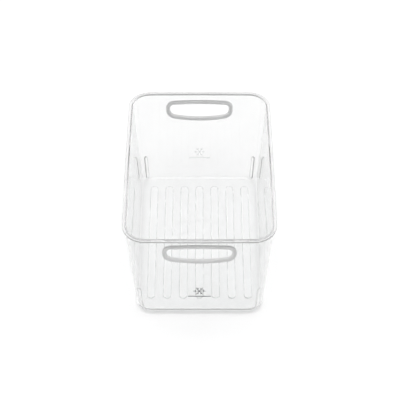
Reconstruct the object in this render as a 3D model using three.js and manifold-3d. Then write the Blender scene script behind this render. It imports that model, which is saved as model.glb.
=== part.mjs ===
// Clear fridge bin: one thin-walled moulded tub with a turned-out rim, and a soft grip ring
// snapped into the hand hole of each end wall. Millimetres, +Z up, +Y towards the rear end,
// origin at the centre of the footprint, on the surface that the bin stands on.

import * as THREE from 'three';
import { ParametricGeometry } from 'three/addons/geometries/ParametricGeometry.js';
import { mergeVertices } from 'three/addons/utils/BufferGeometryUtils.js';
import Module from 'manifold-3d';

const wasm = await Module();
wasm.setup();

// Driving dimensions.
const rimWidth = 210;
const rimLength = 310;
const height = 163;
const baseWidth = 182.6;
const wall = 2.2;
const rimReach = 3.6; // how far the rim stands out past the wall
const rimDepth = 3; // the rim's height
const baseCorner = 23.3; // plan radius of the corners at the foot
const topCorner = 26.9; // plan radius of the wall's corners under the rim
const footFillet = 12; // outside radius between base and walls
const floorFillet = 9; // inside radius between floor and walls
const bow = 1; // how far each side bulges at rim height

// What follows from them.
const wallTop = { x: rimWidth / 2 - rimReach, y: rimLength / 2 - rimReach };
const draft = (wallTop.x - baseWidth / 2) / height; // the same slope on all four walls
const foot = { x: baseWidth / 2, y: wallTop.y - draft * height };
const draftAngle = Math.atan(draft);

const toRadians = THREE.MathUtils.degToRad;

// ---- Solids -----------------------------------------------------------------------------

// A closed three.js geometry as a manifold solid, with triangles that closed up at a pole left out.
function solidOf(geometry) {
  const bare = geometry.index ? geometry.toNonIndexed() : geometry.clone();
  for (const name of Object.keys(bare.attributes)) {
    if (name !== 'position') bare.deleteAttribute(name);
  }
  const merged = mergeVertices(bare, 1e-3);
  const index = merged.index.array;
  const triangles = [];
  for (let i = 0; i < index.length; i += 3) {
    const [a, b, c] = [index[i], index[i + 1], index[i + 2]];
    if (a !== b && b !== c && c !== a) triangles.push(a, b, c);
  }
  return new wasm.Manifold(new wasm.Mesh({
    numProp: 3,
    vertProperties: new Float32Array(merged.attributes.position.array),
    triVerts: new Uint32Array(triangles),
  }));
}

function geometryOf(solid) {
  const mesh = solid.getMesh();
  const geometry = new THREE.BufferGeometry();
  geometry.setAttribute('position', new THREE.BufferAttribute(mesh.vertProperties, 3));
  geometry.setIndex(new THREE.BufferAttribute(mesh.triVerts, 1));
  geometry.computeVertexNormals();
  return geometry;
}

// A parametric surface over whole steps: point(i, j) for i of `around` and j of `along` steps.
function surface(around, along, point) {
  return new ParametricGeometry(
    (u, v, target) => target.copy(point(Math.round(u * around), Math.round(v * along))),
    around,
    along,
  );
}

// ---- Tub --------------------------------------------------------------------------------

// The outline of the wall's outside at a height, offset outwards: corners as arcs, sides bowed.
const cornerSteps = 8;
const sideSteps = 6;
const outlineSteps = 4 * (cornerSteps + sideSteps);

function bulge(x, y, z) {
  const share = bow * z / height;
  const across = THREE.MathUtils.clamp(Math.abs(x) / wallTop.x, 0, 1);
  const along = THREE.MathUtils.clamp(Math.abs(y) / wallTop.y, 0, 1);
  return new THREE.Vector3(
    x + Math.sign(x) * share * (1 - along ** 2) * across ** 2,
    y + Math.sign(y) * share * (1 - across ** 2) * along ** 2,
    z,
  );
}

function outlinePoint(step, z, offset) {
  const radius = THREE.MathUtils.lerp(baseCorner, topCorner, z / height) + offset;
  const halfX = foot.x + draft * z + offset;
  const halfY = foot.y + draft * z + offset;
  const perQuarter = cornerSteps + sideSteps;
  const quarter = Math.floor(step / perQuarter) % 4;
  const within = step % perQuarter;
  const signs = [[1, 1], [-1, 1], [-1, -1], [1, -1]];
  const arc = (q, share) => {
    const [sx, sy] = signs[q % 4];
    const angle = (q + share) * Math.PI / 2;
    return new THREE.Vector2(
      sx * (halfX - radius) + radius * Math.cos(angle),
      sy * (halfY - radius) + radius * Math.sin(angle),
    );
  };
  const flat = within <= cornerSteps
    ? arc(quarter, within / cornerSteps)
    : arc(quarter, 1).lerp(arc(quarter + 1, 0), (within - cornerSteps) / sideSteps);
  return bulge(flat.x, flat.y, z);
}

// The tub's section from the middle of the base, out, up, over the rim and back down to the
// middle of the floor. Each entry is [height, offset from the wall's outside]; a null offset
// is the middle itself.
function arcSection(centreZ, centreOffset, radius, fromDegrees, toDegrees, steps) {
  const points = [];
  for (let i = 0; i <= steps; i++) {
    const angle = toRadians(THREE.MathUtils.lerp(fromDegrees, toDegrees, i / steps));
    points.push([centreZ + radius * Math.sin(angle), centreOffset + radius * Math.cos(angle)]);
  }
  return points;
}

function tubSection() {
  const rimEdge = 1.1; // radius of the rim's outer edges
  const lipEdge = 0.7; // radius of the inner edge of the rim
  const rimFoot = height - rimDepth;
  return [
    [0, null],
    ...arcSection(footFillet, -footFillet, footFillet, -90, 0, 6),
    [rimFoot - 0.8, 0],
    [rimFoot, 0.8],
    ...arcSection(rimFoot + rimEdge, rimReach - rimEdge, rimEdge, -90, 0, 2),
    ...arcSection(height - rimEdge, rimReach - rimEdge, rimEdge, 0, 90, 2),
    ...arcSection(height - lipEdge, lipEdge - wall, lipEdge, 90, 180, 2),
    ...arcSection(wall + floorFillet, -wall - floorFillet, floorFillet, 0, -90, 4),
    [wall, null],
  ];
}

function tubBlank() {
  const section = tubSection();
  return surface(outlineSteps, section.length - 1, (i, j) => {
    const [z, offset] = section[j];
    return offset === null ? new THREE.Vector3(0, 0, z) : outlinePoint(i % outlineSteps, z, offset);
  });
}

// ---- Hand hole and grip -----------------------------------------------------------------

// The grip's opening in the plane of the wall: a nearly straight top, a sagging bottom and
// rounded ends, drawn about the middle of its height.
const opening = {
  halfWidth: 44.4,
  top: 12.35,
  bottom: -12.35,
  topCrown: 620,
  bottomCrown: 185,
  topCorner: 6.2,
  bottomCorner: 9.5,
};
const gripMiddle = 132.35; // height of the opening's middle above the base
const gripLip = 2.3; // grip between the opening and the cut edge of the wall
const gripOverlap = 4; // how far the flanges reach over the wall
const gripThickness = 5;
const gap = 0.3; // clearance of the grip on the wall

// The opening as four corner arcs and two crowns: {centre, radius, from, to} in degrees.
function openingArcs() {
  const o = opening;
  const corner = (crown, extreme, radius, up) => {
    const x = o.halfWidth - radius;
    const crownCentre = extreme - up * crown;
    const y = crownCentre + up * Math.sqrt((crown - radius) ** 2 - x ** 2);
    const lean = THREE.MathUtils.radToDeg(Math.atan2(x, Math.abs(y - crownCentre)));
    return { x, y, lean, crownCentre };
  };
  const crownArc = (side, radius, middle) => ({
    x: 0,
    y: side.crownCentre,
    radius,
    from: middle - side.lean,
    to: middle + side.lean,
    steps: 8,
  });
  const upper = corner(o.topCrown, o.top, o.topCorner, 1);
  const lower = corner(o.bottomCrown, o.bottom, o.bottomCorner, -1);
  return [
    { x: upper.x, y: upper.y, radius: o.topCorner, from: 0, to: 90 - upper.lean, steps: 5 },
    crownArc(upper, o.topCrown, 90),
    { x: -upper.x, y: upper.y, radius: o.topCorner, from: 90 + upper.lean, to: 180, steps: 5 },
    { x: -lower.x, y: lower.y, radius: o.bottomCorner, from: 180, to: 270 - lower.lean, steps: 6 },
    crownArc(lower, o.bottomCrown, 270),
    { x: lower.x, y: lower.y, radius: o.bottomCorner, from: 270 + lower.lean, to: 360, steps: 6 },
  ];
}

// The opening's outline point by point, each with its direction out of the opening.
function openingStations() {
  const stations = [];
  for (const arc of openingArcs()) {
    const crown = arc.x === 0;
    // A crown shares its ends with the corners beside it, so only its inner points are added.
    for (let i = crown ? 1 : 0; i <= arc.steps - (crown ? 1 : 0); i++) {
      const angle = toRadians(THREE.MathUtils.lerp(arc.from, arc.to, i / arc.steps));
      const out = new THREE.Vector2(Math.cos(angle), Math.sin(angle));
      const at = new THREE.Vector2(arc.x, arc.y).addScaledVector(out, arc.radius);
      stations.push({ at, out });
    }
  }
  return stations;
}

// How far the wall bulges at a point of an end wall, given across it and up it from the opening's middle.
function endBulge(x, up) {
  const z = gripMiddle + up * Math.cos(draftAngle);
  const y = foot.y + draft * z - wall / 2;
  return bulge(x, y, z).y - y;
}

// A grip's or cutter's local frame: X across, Z up the wall, -Y out of the bin.
function placeOnEndWall(object) {
  object.position.set(0, -(foot.y + draft * gripMiddle - wall / 2), gripMiddle);
  object.rotation.x = draftAngle;
  return object;
}

function handHoleCutter() {
  const outline = openingStations().map(({ at, out }) => at.clone().addScaledVector(out, gripLip));
  const reach = 20;
  const geometry = new THREE.ExtrudeGeometry(new THREE.Shape(outline), {
    depth: reach,
    bevelEnabled: false,
  });
  geometry.rotateX(Math.PI / 2);
  geometry.translate(0, reach / 2, 0);
  const holder = placeOnEndWall(new THREE.Object3D());
  holder.updateMatrix();
  geometry.applyMatrix4(holder.matrix);
  return geometry;
}

// The ring's section: [outwards from the opening, out of the bin]. It wraps the cut edge of
// the wall as a U, with a rounded bore.
function gripSection() {
  const half = gripThickness / 2;
  const channel = wall / 2 + gap;
  const edge = gripLip + gripOverlap;
  const boreRound = 1.9;
  const points = [];
  for (let i = 0; i <= 4; i++) {
    const angle = toRadians(90 + 45 * i);
    points.push([boreRound + boreRound * Math.cos(angle), half * Math.sin(angle)]);
  }
  points.push(
    [edge - 0.6, -half],
    [edge, -half + 0.6],
    [edge, -channel],
    [gripLip - gap, -channel],
    [gripLip - gap, channel],
    [edge, channel],
    [edge, half - 0.6],
    [edge - 0.6, half],
  );
  return points;
}

function gripGeometry() {
  const stations = openingStations();
  const section = gripSection();
  return surface(stations.length, section.length, (i, j) => {
    const { at, out } = stations[i % stations.length];
    const [outwards, through] = section[j % section.length];
    const flat = at.clone().addScaledVector(out, outwards);
    return new THREE.Vector3(flat.x, -through - endBulge(flat.x, flat.y), flat.y);
  });
}

// ---- Ribs -------------------------------------------------------------------------------

function stadium(width, length) {
  const radius = width / 2;
  const reach = length / 2 - radius;
  const shape = new THREE.Shape();
  shape.absarc(0, reach, radius, 0, Math.PI, false);
  shape.absarc(0, -reach, radius, Math.PI, 2 * Math.PI, false);
  return shape;
}

// A bar with round ends, its top at z = rise and its foot sunk below z = 0 by `sunk`.
function bar(width, length, rise, sunk, edge) {
  const geometry = new THREE.ExtrudeGeometry(stadium(width - 2 * edge, length - 2 * edge), {
    depth: rise + sunk - edge,
    bevelThickness: edge,
    bevelSize: edge,
    bevelSegments: 2,
    curveSegments: 10,
  });
  geometry.translate(0, 0, -sunk);
  return geometry;
}

const floorRib = { count: 7, width: 11.8, pitch: 23.5, length: 231, rise: 1.2, sunk: 0.5, edge: 0.5 };

function floorRibs() {
  const { count, width, pitch, length, rise, sunk, edge } = floorRib;
  const ribs = [];
  for (let i = 0; i < count; i++) {
    const geometry = bar(width, length, rise, sunk, edge);
    geometry.translate((i - (count - 1) / 2) * pitch, 0, wall);
    ribs.push(geometry);
  }
  return ribs;
}

// Four upright ribs on the inside of the corners, which keep nested bins from jamming together.
const cornerRib = { width: 6, low: 4, high: 48, rise: 1.8, sunk: 1.2, edge: 0.6, turn: 42 };

// The rib's line on the inside of a corner at a height, `turn` degrees round from the end wall.
function cornerLine(z, sx, sy) {
  const turn = toRadians(cornerRib.turn);
  const radius = THREE.MathUtils.lerp(baseCorner, topCorner, z / height);
  const reach = radius - wall;
  return new THREE.Vector3(
    sx * (foot.x + draft * z - radius + reach * Math.sin(turn)),
    sy * (foot.y + draft * z - radius + reach * Math.cos(turn)),
    z,
  );
}

function cornerRibs() {
  const { width, low, high, rise, sunk, edge, turn } = cornerRib;
  const ribs = [];
  for (const [sx, sy] of [[1, 1], [-1, 1], [-1, -1], [1, -1]]) {
    const ribFoot = cornerLine(low, sx, sy);
    const ribHead = cornerLine(high, sx, sy);
    const up = ribHead.clone().sub(ribFoot).normalize();
    const level = new THREE.Vector3(-sx * Math.sin(toRadians(turn)), -sy * Math.cos(toRadians(turn)), 0);
    const side = up.clone().cross(level).normalize();
    const inward = side.clone().cross(up);
    const place = new THREE.Matrix4().makeBasis(side, up, inward);
    place.setPosition(ribFoot.clone().lerp(ribHead, 0.5));
    ribs.push(bar(width, high - low, rise, sunk, edge).applyMatrix4(place));
  }
  return ribs;
}

function tubGeometry() {
  const cutter = handHoleCutter();
  const rearCutter = cutter.clone().rotateZ(Math.PI);
  let tub = solidOf(tubBlank());
  tub = tub.subtract(solidOf(cutter)).subtract(solidOf(rearCutter));
  for (const rib of [...floorRibs(), ...cornerRibs()]) tub = tub.add(solidOf(rib));
  return geometryOf(tub);
}

// ---- Assembly ---------------------------------------------------------------------------

const clearPlastic = new THREE.MeshStandardMaterial({
  color: 0xf4f7f7,
  roughness: 0.06,
  metalness: 0,
  transparent: true,
  opacity: 0.3,
});
const softGrey = new THREE.MeshStandardMaterial({ color: 0xd4d4d4, roughness: 0.62, metalness: 0 });

function named(name, geometry, material) {
  const mesh = new THREE.Mesh(geometry, material);
  mesh.name = name;
  return mesh;
}

const bin = new THREE.Group();
bin.add(named('bin_shell', tubGeometry(), clearPlastic));
bin.add(placeOnEndWall(named('front_grip', gripGeometry(), softGrey)));
const rearEnd = new THREE.Group();
rearEnd.rotation.z = Math.PI;
rearEnd.add(placeOnEndWall(named('rear_grip', gripGeometry(), softGrey)));
bin.add(rearEnd);

export default bin;
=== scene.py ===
from math import atan, cos, pi, radians, sin, sqrt

import bmesh
import bpy
from mathutils import Matrix, Vector
from mathutils.kdtree import KDTree


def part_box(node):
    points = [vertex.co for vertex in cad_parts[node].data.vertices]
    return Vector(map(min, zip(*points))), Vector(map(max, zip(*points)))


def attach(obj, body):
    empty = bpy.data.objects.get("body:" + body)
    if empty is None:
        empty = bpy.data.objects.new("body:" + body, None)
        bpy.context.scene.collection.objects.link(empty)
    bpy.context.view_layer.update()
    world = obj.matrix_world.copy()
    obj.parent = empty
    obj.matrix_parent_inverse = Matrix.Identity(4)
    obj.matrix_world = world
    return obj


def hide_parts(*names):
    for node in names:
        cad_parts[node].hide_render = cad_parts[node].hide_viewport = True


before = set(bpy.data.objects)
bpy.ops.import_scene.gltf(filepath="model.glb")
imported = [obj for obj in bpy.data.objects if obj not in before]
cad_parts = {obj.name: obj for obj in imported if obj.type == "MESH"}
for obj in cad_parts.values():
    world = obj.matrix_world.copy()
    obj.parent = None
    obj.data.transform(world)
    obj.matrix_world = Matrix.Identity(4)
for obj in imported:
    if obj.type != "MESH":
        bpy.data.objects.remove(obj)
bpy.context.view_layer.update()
shellLow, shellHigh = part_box("bin_shell")
gripLow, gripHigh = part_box("front_grip")
mm = 0.001
print("bin frame loaded, rim", [round(v / mm, 1) for v in shellHigh])


# Small shared helpers

def lerp(a, b, t):
    return a + (b - a) * t


def spread(a, b, steps):
    # steps + 1 values from a to b, closer together near both ends
    return [lerp(a, b, 0.5 - 0.5 * cos(pi * i / steps)) for i in range(steps + 1)]


def arc(centreX, centreY, radius, start, end, steps):
    turns = [radians(lerp(start, end, i / steps)) for i in range(steps + 1)]
    return [(centreX + radius * cos(a), centreY + radius * sin(a)) for a in turns]


def meshFromRings(name, rings, closed=False):
    # rings of equal length: joined ring to ring, then either round to the first or capped
    count = len(rings[0])
    points = [p for ring in rings for p in ring]
    faces = []
    last = len(rings) if closed else len(rings) - 1
    for i in range(last):
        a, b = i * count, (i + 1) % len(rings) * count
        for j in range(count):
            k = (j + 1) % count
            faces.append((a + j, a + k, b + k, b + j))
    if not closed:
        faces.append(tuple(range(count)))
        faces.append(tuple(range(len(points) - count, len(points))))
    mesh = bpy.data.meshes.new(name)
    mesh.from_pydata(points, [], faces)
    tidy = bmesh.new()
    tidy.from_mesh(mesh)
    bmesh.ops.recalc_face_normals(tidy, faces=tidy.faces)
    tidy.to_mesh(mesh)
    tidy.free()
    return mesh


def joinMeshes(name, meshes):
    both = bmesh.new()
    for mesh in meshes:
        both.from_mesh(mesh)
    mesh = bpy.data.meshes.new(name)
    both.to_mesh(mesh)
    both.free()
    return mesh


def addObject(name, mesh):
    obj = bpy.data.objects.new(name, mesh)
    bpy.context.scene.collection.objects.link(obj)
    return obj


def carve(obj, toolMesh, operation):
    # boolean against a throwaway tool, applied at once
    tool = addObject("tool", toolMesh)
    change = obj.modifiers.new("carve", "BOOLEAN")
    change.solver = "EXACT"
    change.operation = operation
    change.object = tool
    depsgraph = bpy.context.evaluated_depsgraph_get()
    made = bpy.data.meshes.new_from_object(obj.evaluated_get(depsgraph))
    obj.modifiers.clear()
    obj.data = made
    bpy.data.objects.remove(tool)


def addEdgeShade(obj, points):
    # painted shade: gives each vertex that lies on one of the (point, share) pairs its share, and the
    # others none
    closeEnough = 0.02 * mm
    near = KDTree(len(points))
    for i, (point, share) in enumerate(points):
        near.insert(point, i)
    near.balance()
    shares = []
    for vertex in obj.data.vertices:
        place, i, distance = near.find(vertex.co)
        shares.append(points[i][1] if distance < closeEnough else 0)
    obj.data.attributes.new("edging", "FLOAT", "POINT").data.foreach_set("value", shares)


def smooth(obj, degrees):
    obj.data.polygons.foreach_set("use_smooth", [True] * len(obj.data.polygons))
    obj.data.set_sharp_from_angle(angle=radians(degrees))


# Clear tub

tub = {
    "bow": 1.0 * mm,  # bulge of each side at rim height
    "baseHalfX": 91.3 * mm,
    "wall": 2.2 * mm,
    "rimReach": 3.6 * mm,
    "rimDepth": 3.0 * mm,
    "rimEdge": 1.1 * mm,
    "lipEdge": 0.7 * mm,
    "rimFoot": 0.8 * mm,  # inside radius where the rim leaves the wall
    "baseCorner": 23.3 * mm,
    "topCorner": 26.9 * mm,
    "footFillet": 9 * mm,
    "floorFillet": 7 * mm,
    "cornerSteps": 20,
    "sideSteps": 22,
    "footSteps": 16,
    "wallSteps": 12,
    # how much painted shade the outside gets at the front end, at the rear end, along the sides, in the
    # corners; it darkens the foot, wall, rim and lip edges into shade lines
    "footPaintedShade": (0.8, 0.1, 0, 0),
    "footShadeFrom": 0.375,  # share of the way up the foot's rounding where its painted shade starts
    "wallPaintedShade": (0, 0, 0, 0.1),
    "rimPaintedShade": (1, 1, 0.7, 0),
    "lipPaintedShade": (0.95, 0.95, 0.1, 0),
    "lipBand": 0.9 * mm,  # how far down the inner wall the lip's painted shade goes
    "lipFade": 0.5 * mm,  # and how far it takes to fade out
    "sharp": 28,  # degrees between faces from which an edge isn't smoothed
}

height = shellHigh.z
topHalfX = shellHigh.x - tub["bow"] - tub["rimReach"]
topHalfY = shellHigh.y - tub["bow"] - tub["rimReach"]
draft = (topHalfX - tub["baseHalfX"]) / height
draftAngle = atan(draft)
baseHalfX = tub["baseHalfX"]
baseHalfY = topHalfY - draft * height


def bulged(x, y, z):
    share = tub["bow"] * z / height
    across = min(abs(x) / topHalfX, 1)
    along = min(abs(y) / topHalfY, 1)
    outX = share * (1 - along ** 2) * across ** 2
    outY = share * (1 - across ** 2) * along ** 2
    return Vector((x + (outX if x > 0 else -outX), y + (outY if y > 0 else -outY), z))


def tubOutline(z, offset):
    # the wall's outside at height z, moved out by offset, once round from +X
    radius = lerp(tub["baseCorner"], tub["topCorner"], z / height) + offset
    reachX = baseHalfX + draft * z + offset - radius
    reachY = baseHalfY + draft * z + offset - radius
    corners = []
    for quarter, (sx, sy) in enumerate(((1, 1), (-1, 1), (-1, -1), (1, -1))):
        corners.append(arc(sx * reachX, sy * reachY, radius,
                           90 * quarter, 90 * quarter + 90, tub["cornerSteps"]))
    points = []
    for quarter, corner in enumerate(corners):
        ahead = corners[(quarter + 1) % 4][0]
        points += corner[:-1]
        shares = spread(0, 1, tub["sideSteps"])[:-1]
        points += [(lerp(corner[-1][0], ahead[0], t), lerp(corner[-1][1], ahead[1], t)) for t in shares]
    return [bulged(x, y, z) for x, y in points]


def tubSection():
    # (offset, height, painted shade) from the edge of the base, up outside, over the rim and down to
    # the floor; the painted shade is given for the front end, the rear end, the sides and the corners
    wall, foot, floor = tub["wall"], tub["footFillet"], tub["floorFillet"]
    reach, edge, lip, inside = tub["rimReach"], tub["rimEdge"], tub["lipEdge"], tub["rimFoot"]
    under = height - tub["rimDepth"]
    lipFoot = height - lip - tub["lipBand"]
    outerWall = spread(foot, under - inside, tub["wallSteps"])[1:-1]
    innerWall = spread(under - inside, wall + floor, tub["wallSteps"])[:-1]
    footArc = arc(-foot, foot, foot, -90, 0, tub["footSteps"])
    bare = (0, 0, 0, 0)
    section = []
    # painted shade on the foot's rounding, strongest at the front, standing in for the dark contact
    # line and shadow along the base
    for i, (offset, z) in enumerate(footArc):
        up = (i / tub["footSteps"] - tub["footShadeFrom"]) / (1 - tub["footShadeFrom"])
        part = min(max(2 * sin(pi * up), 0), 1)
        section.append((offset, z, [part * share for share in tub["footPaintedShade"]]))
    stretches = (
        (tub["wallPaintedShade"], [(0, z) for z in outerWall]),
        (bare, arc(inside, under - inside, inside, 180, 90, 4)),
        (tub["rimPaintedShade"], arc(reach - edge, under + edge, edge, -90, 0, 5)),
        (tub["rimPaintedShade"], arc(reach - edge, height - edge, edge, 0, 18, 1)),
        (bare, arc(reach - edge, height - edge, edge, 36, 90, 3)),
        (tub["lipPaintedShade"], arc(lip - wall, height - lip, lip, 110, 180, 4)),
        (tub["lipPaintedShade"], [(-wall, lipFoot)]),
        (bare, [(-wall, lipFoot - tub["lipFade"])]),
        (bare, [(-wall, z) for z in innerWall]),
        (bare, arc(-wall - floor, wall + floor, floor, 0, -90, 12)),
    )
    for shares, points in stretches:
        section += [(offset, z, shares) for offset, z in points]
    return section


edgeShadePoints = []  # (point on a moulded edge, how much painted shade the surface gets there)


# Moulded bars on the floor and ribs in the corners

bars = {
    "count": 7,
    "pitch": 23.5 * mm,
    "width": 11.8 * mm,
    "length": 231 * mm,
    "rise": 1.2 * mm,
    "sunk": 0.9 * mm,
    "edge": 0.55 * mm,
    "band": 0.3 * mm,  # how far onto the top the edge's painted shade goes
    # painted shade on the bars' rounded edges, darkening their outlines
    "paintedShadeShare": 0.5,
}
ribs = {
    "width": 6 * mm,
    "low": 4 * mm,
    "high": 48 * mm,
    "rise": 1.8 * mm,
    "sunk": 1.2 * mm,
    "edge": 0.8 * mm,
    "turn": 42,  # degrees round the corner from the end wall
    "band": 0.5 * mm,
    # painted shade on the ribs' rounded edges, darkening both long outlines
    "paintedShadeShare": 0.8,
}


def pill(name, size, place):
    # a bar with round ends and rounded top edges, lying along Y, its foot below z = 0
    width, length, edge = size["width"], size["length"], size["edge"]
    levels = [(0, -size["sunk"])]
    levels += [(edge - x, size["rise"] - edge + z) for x, z in arc(0, 0, edge, 0, 90, 5)]
    levels += [(edge + size["band"], size["rise"])]
    rings = []
    for inset, z in levels:
        radius = width / 2 - inset
        reach = length / 2 - width / 2
        outline = arc(0, reach, radius, 0, 180, 14) + arc(0, -reach, radius, 180, 360, 14)
        rings.append([place @ Vector((x, y, z)) for x, y in outline])
    # the rounded edge rings get painted shade
    for ring in rings[1:-1]:
        edgeShadePoints.extend((point, size["paintedShadeShare"]) for point in ring)
    return meshFromRings(name, rings)


def floorBars():
    meshes = []
    for i in range(bars["count"]):
        x = (i - (bars["count"] - 1) / 2) * bars["pitch"]
        place = Matrix.Translation((x, 0, tub["wall"]))
        meshes.append(pill("bar", bars, place))
    return meshes


def cornerLine(z, sx, sy):
    turn = radians(ribs["turn"])
    radius = lerp(tub["baseCorner"], tub["topCorner"], z / height)
    inside = radius - tub["wall"]
    x = baseHalfX + draft * z - radius + inside * sin(turn)
    y = baseHalfY + draft * z - radius + inside * cos(turn)
    return Vector((sx * x, sy * y, z))


def cornerRibs():
    turn = radians(ribs["turn"])
    size = {**ribs, "length": ribs["high"] - ribs["low"]}
    meshes = []
    for sx, sy in ((1, 1), (-1, 1), (-1, -1), (1, -1)):
        foot, head = cornerLine(ribs["low"], sx, sy), cornerLine(ribs["high"], sx, sy)
        up = (head - foot).normalized()
        side = up.cross(Vector((-sx * sin(turn), -sy * cos(turn), 0))).normalized()
        place = Matrix((side, up, side.cross(up))).transposed().to_4x4()
        place.translation = (foot + head) / 2
        meshes.append(pill("rib", size, place))
    return meshes


# Hand holes and the soft grips round them

grip = {
    "lip": 2.3 * mm,  # grip between the opening and the cut edge of the wall
    "overlap": 4.0 * mm,
    "thickness": 5.0 * mm,
    "gap": 0.3 * mm,
    "top": 12.35 * mm,
    "bottom": -12.35 * mm,
    "topCrown": 620 * mm,
    "bottomCrown": 185 * mm,
    "topCorner": 6.2 * mm,
    "bottomCorner": 9.5 * mm,
    "bore": 1.9 * mm,  # rounding of the bore
    "edge": 1.3 * mm,  # rounding of the outer edges
    "cutReach": 9 * mm,  # how far the hand hole's cutter stands out on each side
    "sharp": 40,
}
gripMiddle = (gripLow.z + gripHigh.z) / 2
gripWidth = gripHigh.x - grip["lip"] - grip["overlap"]


def openingCorner(crown, extreme, radius, up):
    # the circle that blends a crowned edge into the end of the opening
    x = gripWidth - radius
    crownCentre = extreme - up * crown
    y = crownCentre + up * sqrt((crown - radius) ** 2 - x ** 2)
    return x, y, crownCentre, atan(x / abs(y - crownCentre)) * 180 / pi


def openingStations():
    # [(point on the opening, direction out of it)] once round, both in the wall's plane
    g = grip
    topX, topY, topCentre, topLean = openingCorner(g["topCrown"], g["top"], g["topCorner"], 1)
    lowX, lowY, lowCentre, lowLean = openingCorner(g["bottomCrown"], g["bottom"], g["bottomCorner"], -1)
    arcs = (
        (topX, topY, g["topCorner"], 0, 90 - topLean, 14),
        (0, topCentre, g["topCrown"], 90 - topLean, 90 + topLean, 20),
        (-topX, topY, g["topCorner"], 90 + topLean, 180, 14),
        (-lowX, lowY, g["bottomCorner"], 180, 270 - lowLean, 14),
        (0, lowCentre, g["bottomCrown"], 270 - lowLean, 270 + lowLean, 20),
        (lowX, lowY, g["bottomCorner"], 270 + lowLean, 360, 14),
    )
    stations = []
    for x, y, radius, start, end, steps in arcs:
        angles = spread(radians(start), radians(end), steps)
        if x == 0:
            angles = angles[1:-1]
        for a in angles:
            away = Vector((cos(a), sin(a)))
            stations.append((Vector((x, y)) + radius * away, away))
    return stations


def onEndWall(x, up, out, end):
    # x across, up the wall from the hand hole's middle and out of the bin from mid-wall; end is
    # -1 for the front wall and 1 for the rear one
    z = gripMiddle + up * cos(draftAngle) - out * sin(draftAngle)
    midWall = baseHalfY + draft * gripMiddle - tub["wall"] / 2
    flatY = baseHalfY + draft * z - tub["wall"] / 2
    bowing = bulged(x, flatY, z).y - flatY
    y = midWall + up * sin(draftAngle) + out * cos(draftAngle) + bowing
    return Vector((-end * x, end * y, z))


def holeTool(end):
    rings = []
    for out in (-grip["cutReach"], grip["cutReach"]):
        ring = []
        for point, away in openingStations():
            at = point + away * grip["lip"]
            ring.append(onEndWall(at.x, at.y, out, end))
        rings.append(ring)
    return meshFromRings("hole", rings)


def gripSection():
    # (outwards from the opening, out of the bin), once round the U that wraps the cut edge
    half = grip["thickness"] / 2
    channel = tub["wall"] / 2 + grip["gap"]
    rim = grip["lip"] + grip["overlap"]
    bottom = grip["lip"] - grip["gap"]
    bore, edge = grip["bore"], grip["edge"]
    side = half - bore
    section = arc(bore, side, bore, 90, 180, 6)
    section += arc(bore, -side, bore, 180, 270, 6)
    section += arc(rim - edge, -half + edge, edge, 270, 360, 5)
    section += [(rim, -channel), (bottom, -channel), (bottom, channel), (rim, channel)]
    section += arc(rim - edge, half - edge, edge, 0, 90, 5)
    return section


def gripMesh(name, end):
    rings = []
    for point, away in openingStations():
        ring = []
        for outwards, out in gripSection():
            at = point + away * outwards
            ring.append(onEndWall(at.x, at.y, out, end))
        rings.append(ring)
    return meshFromRings(name, rings, closed=True)


def paintedShadeShare(point, shares):
    # painted shade at a point: an end wall's share, turning into the long sides' share round the corner
    radius = lerp(tub["baseCorner"], tub["topCorner"], point.z / height)
    cornerStart = baseHalfY + draft * point.z - radius
    turn = min(max((abs(point.y) - cornerStart) / radius, 0), 1)
    front, rear, sides, corners = shares
    return lerp(sides, front if point.y < 0 else rear, turn) + corners * sin(pi * turn)


def tubPiece():
    section = tubSection()
    rings = [tubOutline(z, offset) for offset, z, shares in section]
    for ring, (offset, z, shares) in zip(rings, section):
        edgeShadePoints.extend((point, paintedShadeShare(point, shares)) for point in ring)
    piece = addObject("clearTub", meshFromRings("clearTub", rings))
    carve(piece, joinMeshes("holes", [holeTool(-1), holeTool(1)]), "DIFFERENCE")
    carve(piece, joinMeshes("raised", floorBars() + cornerRibs()), "UNION")
    addEdgeShade(piece, edgeShadePoints)
    smooth(piece, tub["sharp"])
    return piece


# Printed marks: a snowflake over a rule, on the outside of each end wall

mark = {
    "height": 50.7 * mm,  # of the snowflake's middle above the base
    "radius": 8.8 * mm,
    "stroke": 0.95 * mm,
    "barbs": ((5.3 * mm, 2.1 * mm),),  # (where on the arm, how long)
    "ruleHeight": 38.8 * mm,
    "ruleWidth": 33 * mm,
    "ruleStroke": 1.7 * mm,
    "thickness": 0.05 * mm,
    "lift": 0.03 * mm,  # hair of air between print and wall
    "slant": 60,  # degrees between an arm and its barbs
}


def onOuterWall(x, z, out, end):
    y = bulged(x, baseHalfY + draft * z, z).y + out / cos(draftAngle)
    return Vector((-end * x, end * y, z))


def snowflakeOutline():
    # one arm's right side from the hub out, then its left side back in, six times; two arms level
    half = mark["stroke"] / 2
    slant = radians(mark["slant"])
    right = []
    for at, length in mark["barbs"]:
        along = Vector((sin(slant), cos(slant)))
        across = Vector((cos(slant), -sin(slant)))
        tip = Vector((half, at)) + along * length
        right += [Vector((half, at - half / sin(slant))), tip + across * half, tip - across * half,
                  Vector((half, at + half / sin(slant)))]
    right += [Vector((half, mark["radius"]))]
    arm = [Vector((half, half * sqrt(3)))] + right
    arm += [Vector((-p.x, p.y)) for p in reversed(right)]
    outline = []
    for i in range(6):
        turn = Matrix.Rotation(-(i + 0.5) * pi / 3, 2)
        outline += [turn @ p for p in reversed(arm)]
    return outline


def ruleOutline():
    radius = mark["ruleStroke"] / 2
    reach = mark["ruleWidth"] / 2 - radius
    return arc(reach, 0, radius, -90, 90, 6) + arc(-reach, 0, radius, 90, 270, 6)


def printMesh(name, outline, middle, end):
    rings = []
    for out in (mark["lift"], mark["lift"] + mark["thickness"]):
        rings.append([onOuterWall(x, middle + y, out, end) for x, y in outline])
    return meshFromRings(name, rings)


# Materials

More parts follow.
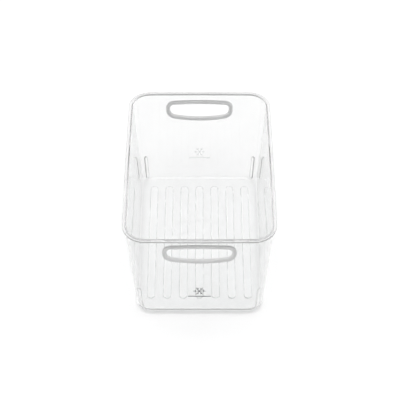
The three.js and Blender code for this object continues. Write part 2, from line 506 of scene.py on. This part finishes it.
noiseLow, noiseHigh = 0.3, 0.7  # nearly all of a noise lies between these


def newMaterial(name):
    material = bpy.data.materials.new(name)
    material.use_nodes = True
    tree = material.node_tree
    return material, tree, tree.nodes["Principled BSDF"]


def noise(tree, scale, detail, position):
    texture = tree.nodes.new("ShaderNodeTexNoise")
    texture.inputs["Scale"].default_value = scale
    texture.inputs["Detail"].default_value = detail
    tree.links.new(position.outputs["Object"], texture.inputs["Vector"])
    return texture


def between(tree, source, low, high):
    # stretches a noise into the range low to high
    remap = tree.nodes.new("ShaderNodeMapRange")
    remap.inputs["From Min"].default_value = noiseLow
    remap.inputs["From Max"].default_value = noiseHigh
    remap.inputs["To Min"].default_value = low
    remap.inputs["To Max"].default_value = high
    tree.links.new(source.outputs["Fac"], remap.inputs["Value"])
    return remap.outputs["Result"]


def tinted(tree, source, dark, light):
    # turns a noise into colours from dark to light
    ramp = tree.nodes.new("ShaderNodeValToRGB")
    low, high = ramp.color_ramp.elements
    low.position, high.position = noiseLow, noiseHigh
    low.color, high.color = (*dark, 1), (*light, 1)
    tree.links.new(source.outputs["Fac"], ramp.inputs["Fac"])
    return ramp.outputs["Color"]


def bumped(tree, source, strength, distance):
    bump = tree.nodes.new("ShaderNodeBump")
    bump.inputs["Strength"].default_value = strength
    bump.inputs["Distance"].default_value = distance
    tree.links.new(source.outputs["Fac"], bump.inputs["Height"])
    return bump.outputs["Normal"]


plastic = {
    "ior": 1.5,
    "clear": (0.945, 0.948, 0.948),  # what one skin lets through, seen square on
    "edge": (0.40, 0.41, 0.41),  # painted shade: the same, greyed where seen along the surface
    "edgeStart": 0.82,
    "edgeEnd": 1.0,
    "cloudy": 0.985,  # how much the clearness varies over the walls
    "absorb": (0.1, 0.12, 0.12),
    "density": 0.15,
    "paintedShade": (0.34, 0.34, 0.34),  # colour of the painted shade on marked edges
    "paintedShadeRoughness": 0.5,  # how much rougher an edge under full painted shade is
    "roughness": (0.01, 0.03),
    "hazeScale": 60,
    "waveScale": 14,
    "waveStrength": 0.08,
    "waveDepth": 0.6 * mm,
}


def grazingShade(tree, cloud):
    # painted shade: the plastic greys where it is seen along its surface, darkening the rims, ribs and
    # the foot
    facing = tree.nodes.new("ShaderNodeLayerWeight")
    facing.inputs["Blend"].default_value = 0.5
    ramp = tree.nodes.new("ShaderNodeValToRGB")
    near, far = ramp.color_ramp.elements
    near.position, far.position = plastic["edgeStart"], plastic["edgeEnd"]
    near.color, far.color = (*plastic["clear"], 1), (*plastic["edge"], 1)
    ramp.color_ramp.interpolation = "EASE"
    tree.links.new(facing.outputs["Facing"], ramp.inputs["Fac"])
    vary = tree.nodes.new("ShaderNodeMix")
    vary.data_type = "RGBA"
    vary.blend_type = "MULTIPLY"
    vary.inputs["Factor"].default_value = 1
    tree.links.new(ramp.outputs["Color"], vary.inputs[6])
    tree.links.new(tinted(tree, cloud, [plastic["cloudy"]] * 3, (1, 1, 1)), vary.inputs[7])
    return vary.outputs[2]


def paintEdgeShade(tree, shader, clear, roughness):
    # painted shade: marked edges are greyed and let less light through, standing in for the dark lines
    # at rims, ribs, bars and foot; it shows on surfaces met from outside, from inside the plastic they
    # stay clear
    edging = tree.nodes.new("ShaderNodeAttribute")
    edging.attribute_name = "edging"
    side = tree.nodes.new("ShaderNodeNewGeometry")
    outside = tree.nodes.new("ShaderNodeMath")
    outside.operation = "SUBTRACT"
    outside.inputs[0].default_value = 1
    tree.links.new(side.outputs["Backfacing"], outside.inputs[1])
    paintedShade = tree.nodes.new("ShaderNodeMath")
    paintedShade.operation = "MULTIPLY"
    tree.links.new(edging.outputs["Fac"], paintedShade.inputs[0])
    tree.links.new(outside.outputs["Value"], paintedShade.inputs[1])
    grey = tree.nodes.new("ShaderNodeMix")
    grey.data_type = "RGBA"
    tree.links.new(paintedShade.outputs["Value"], grey.inputs["Factor"])
    tree.links.new(clear, grey.inputs[6])
    grey.inputs[7].default_value = (*plastic["paintedShade"], 1)
    tree.links.new(grey.outputs[2], shader.inputs["Base Color"])
    through = tree.nodes.new("ShaderNodeMath")
    through.operation = "SUBTRACT"
    through.inputs[0].default_value = 1
    tree.links.new(paintedShade.outputs["Value"], through.inputs[1])
    tree.links.new(through.outputs["Value"], shader.inputs["Transmission Weight"])
    rougher = tree.nodes.new("ShaderNodeMath")
    rougher.operation = "MULTIPLY_ADD"
    tree.links.new(paintedShade.outputs["Value"], rougher.inputs[0])
    rougher.inputs[1].default_value = plastic["paintedShadeRoughness"]
    tree.links.new(roughness, rougher.inputs[2])
    tree.links.new(rougher.outputs["Value"], shader.inputs["Roughness"])


def clearPlastic():
    material, tree, shader = newMaterial("clearPlastic")
    position = tree.nodes.new("ShaderNodeTexCoord")
    flow = noise(tree, plastic["waveScale"], 1, position)  # slow waviness of the moulded walls
    haze = noise(tree, plastic["hazeScale"], 4, position)
    shader.inputs["IOR"].default_value = plastic["ior"]
    paintEdgeShade(tree, shader, grazingShade(tree, haze), between(tree, haze, *plastic["roughness"]))
    waves = bumped(tree, flow, plastic["waveStrength"], plastic["waveDepth"])
    tree.links.new(waves, shader.inputs["Normal"])
    depth = tree.nodes.new("ShaderNodeVolumeAbsorption")
    depth.inputs["Color"].default_value = (*plastic["absorb"], 1)
    depth.inputs["Density"].default_value = plastic["density"]
    tree.links.new(depth.outputs["Volume"], tree.nodes["Material Output"].inputs["Volume"])
    return material


rubber = {
    "dark": [0.58] * 3,
    "light": [0.62] * 3,
    "cloudScale": 90,
    "roughness": (0.5, 0.62),
    "grainScale": 2600,
    "grainStrength": 0.25,
    "grainDepth": 0.05 * mm,
    "ior": 1.41,
    "glow": 0.8,  # share of the light that enters and comes out again nearby
    "glowDepth": 6 * mm,
    "sheen": 0.15,
    "sheenRoughness": 0.4,
}


def softGrip():
    material, tree, shader = newMaterial("softGrip")
    position = tree.nodes.new("ShaderNodeTexCoord")
    grain = noise(tree, rubber["grainScale"], 3, position)
    cloud = noise(tree, rubber["cloudScale"], 3, position)
    tree.links.new(tinted(tree, cloud, rubber["dark"], rubber["light"]), shader.inputs["Base Color"])
    tree.links.new(between(tree, cloud, *rubber["roughness"]), shader.inputs["Roughness"])
    pores = bumped(tree, grain, rubber["grainStrength"], rubber["grainDepth"])
    tree.links.new(pores, shader.inputs["Normal"])
    shader.inputs["IOR"].default_value = rubber["ior"]
    shader.inputs["Subsurface Weight"].default_value = rubber["glow"]
    shader.inputs["Subsurface Radius"].default_value = (1, 1, 1)
    shader.inputs["Subsurface Scale"].default_value = rubber["glowDepth"]
    shader.inputs["Sheen Weight"].default_value = rubber["sheen"]
    shader.inputs["Sheen Roughness"].default_value = rubber["sheenRoughness"]
    return material


inks = {
    "frontShade": 0.06,
    "frontCover": 1,
    "rearShade": 0.6,
    "rearCover": 0.2,  # the rear print is pale and thin
    "uneven": 0.1,  # how much the shade varies
    "speckleScale": 1500,
    "roughness": (0.35, 0.5),
}


def ink(name, shade, cover):
    material, tree, shader = newMaterial(name)
    position = tree.nodes.new("ShaderNodeTexCoord")
    speckle = noise(tree, inks["speckleScale"], 2, position)
    dark, light = [shade * (1 - inks["uneven"])] * 3, [shade * (1 + inks["uneven"])] * 3
    tree.links.new(tinted(tree, speckle, dark, light), shader.inputs["Base Color"])
    tree.links.new(between(tree, speckle, *inks["roughness"]), shader.inputs["Roughness"])
    shader.inputs["Alpha"].default_value = cover
    return material


def dress(piece, material):
    piece.data.materials.clear()
    piece.data.materials.append(material)
    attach(piece, "root")
    return piece


# The bin

tubObject = dress(tubPiece(), clearPlastic())
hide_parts("bin_shell")
print("tub moulded:", len(tubObject.data.polygons), "faces")

gripMaterial = softGrip()
for name, node, end in (("frontGrip", "front_grip", -1), ("rearGrip", "rear_grip", 1)):
    piece = addObject(name, gripMesh(name, end))
    smooth(piece, grip["sharp"])
    dress(piece, gripMaterial)
    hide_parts(node)
print("grips fitted round the hand holes")

for where, end in (("front", -1), ("rear", 1)):
    material = ink(where + "Ink", inks[where + "Shade"], inks[where + "Cover"])
    flake = printMesh(where + "Snowflake", snowflakeOutline(), mark["height"], end)
    rule = printMesh(where + "Rule", ruleOutline(), mark["ruleHeight"], end)
    for mesh in (flake, rule):
        dress(addObject(mesh.name, mesh), material)
print("end walls printed")


# Stage: pale floor, soft light from above, camera

stage = {
    "floorSize": 30,
    "floorDrop": 0.3 * mm,  # hair of air under the base
    "sky": ((0, 0.6), (0.85, 0.9), (0.93, 2.9), (1, 3.1)),  # (sine of the elevation, brightness)
    "floorLight": 1.06,  # brightness of the open floor that the sky is scaled to
    "floorWhite": 0.9,
    "floorRoughness": 0.9,
    "bounces": 128,  # light has to get through several clear walls
}
camera = {
    "place": (0, -1.33189, 1.41405),
    "pitch": 45.094,  # degrees up from straight down
    "lens": 115.3,
    "shift": (0.0014, 0.00125),
}


def paleFloor():
    material, tree, shader = newMaterial("paleFloor")
    shader.inputs["Base Color"].default_value = (*[stage["floorWhite"]] * 3, 1)
    shader.inputs["Roughness"].default_value = stage["floorRoughness"]
    shader.inputs["Specular IOR Level"].default_value = 0
    return material


def addFloor():
    half = stage["floorSize"] / 2
    z = shellLow.z - stage["floorDrop"]
    corners = [(-half, -half, z), (half, -half, z), (half, half, z), (-half, half, z)]
    mesh = bpy.data.meshes.new("floor")
    mesh.from_pydata(corners, [], [(0, 1, 2, 3)])
    floor = addObject("floor", mesh)
    mesh.materials.append(paleFloor())


def skyScale():
    # what brings the open floor to the wanted brightness: twice the sum of light times sine
    steps = 400
    total = 0
    for i in range(steps):
        rise = (i + 0.5) / steps
        for (a, low), (b, high) in zip(stage["sky"], stage["sky"][1:]):
            if a <= rise < b:
                total += 2 * lerp(low, high, (rise - a) / (b - a)) * rise / steps
    return stage["floorLight"] / (stage["floorWhite"] * total)


def addSky():
    # a big soft box overhead that fades towards the horizon
    world = bpy.data.worlds.new("softSky")
    world.use_nodes = True
    bpy.context.scene.world = world
    tree = world.node_tree
    place = tree.nodes.new("ShaderNodeTexCoord")
    split = tree.nodes.new("ShaderNodeSeparateXYZ")
    ramp = tree.nodes.new("ShaderNodeValToRGB")
    for extra in stage["sky"][2:]:
        ramp.color_ramp.elements.new(0.5)
    brightest = max(level for rise, level in stage["sky"])
    for stop, (rise, level) in zip(ramp.color_ramp.elements, stage["sky"]):
        stop.position = rise
        stop.color = (*[level / brightest] * 3, 1)
    tree.nodes["Background"].inputs["Strength"].default_value = brightest * skyScale()
    tree.links.new(place.outputs["Generated"], split.inputs["Vector"])
    tree.links.new(split.outputs["Z"], ramp.inputs["Fac"])
    tree.links.new(ramp.outputs["Color"], tree.nodes["Background"].inputs["Color"])


def addCamera():
    lens = bpy.data.cameras.new("camera")
    lens.lens = camera["lens"]
    lens.shift_x, lens.shift_y = camera["shift"]
    obj = bpy.data.objects.new("camera", lens)
    obj.location = camera["place"]
    obj.rotation_euler = (radians(camera["pitch"]), 0, 0)
    bpy.context.scene.collection.objects.link(obj)
    bpy.context.scene.camera = obj


def addLightPaths():
    paths = bpy.context.scene.cycles
    paths.blur_glossy = 0
    paths.max_bounces = stage["bounces"]
    paths.transmission_bounces = stage["bounces"]
    paths.glossy_bounces = stage["bounces"]


addFloor()
addSky()
addCamera()
addLightPaths()
bpy.context.scene.view_settings.view_transform = "Standard"
print("stage set")
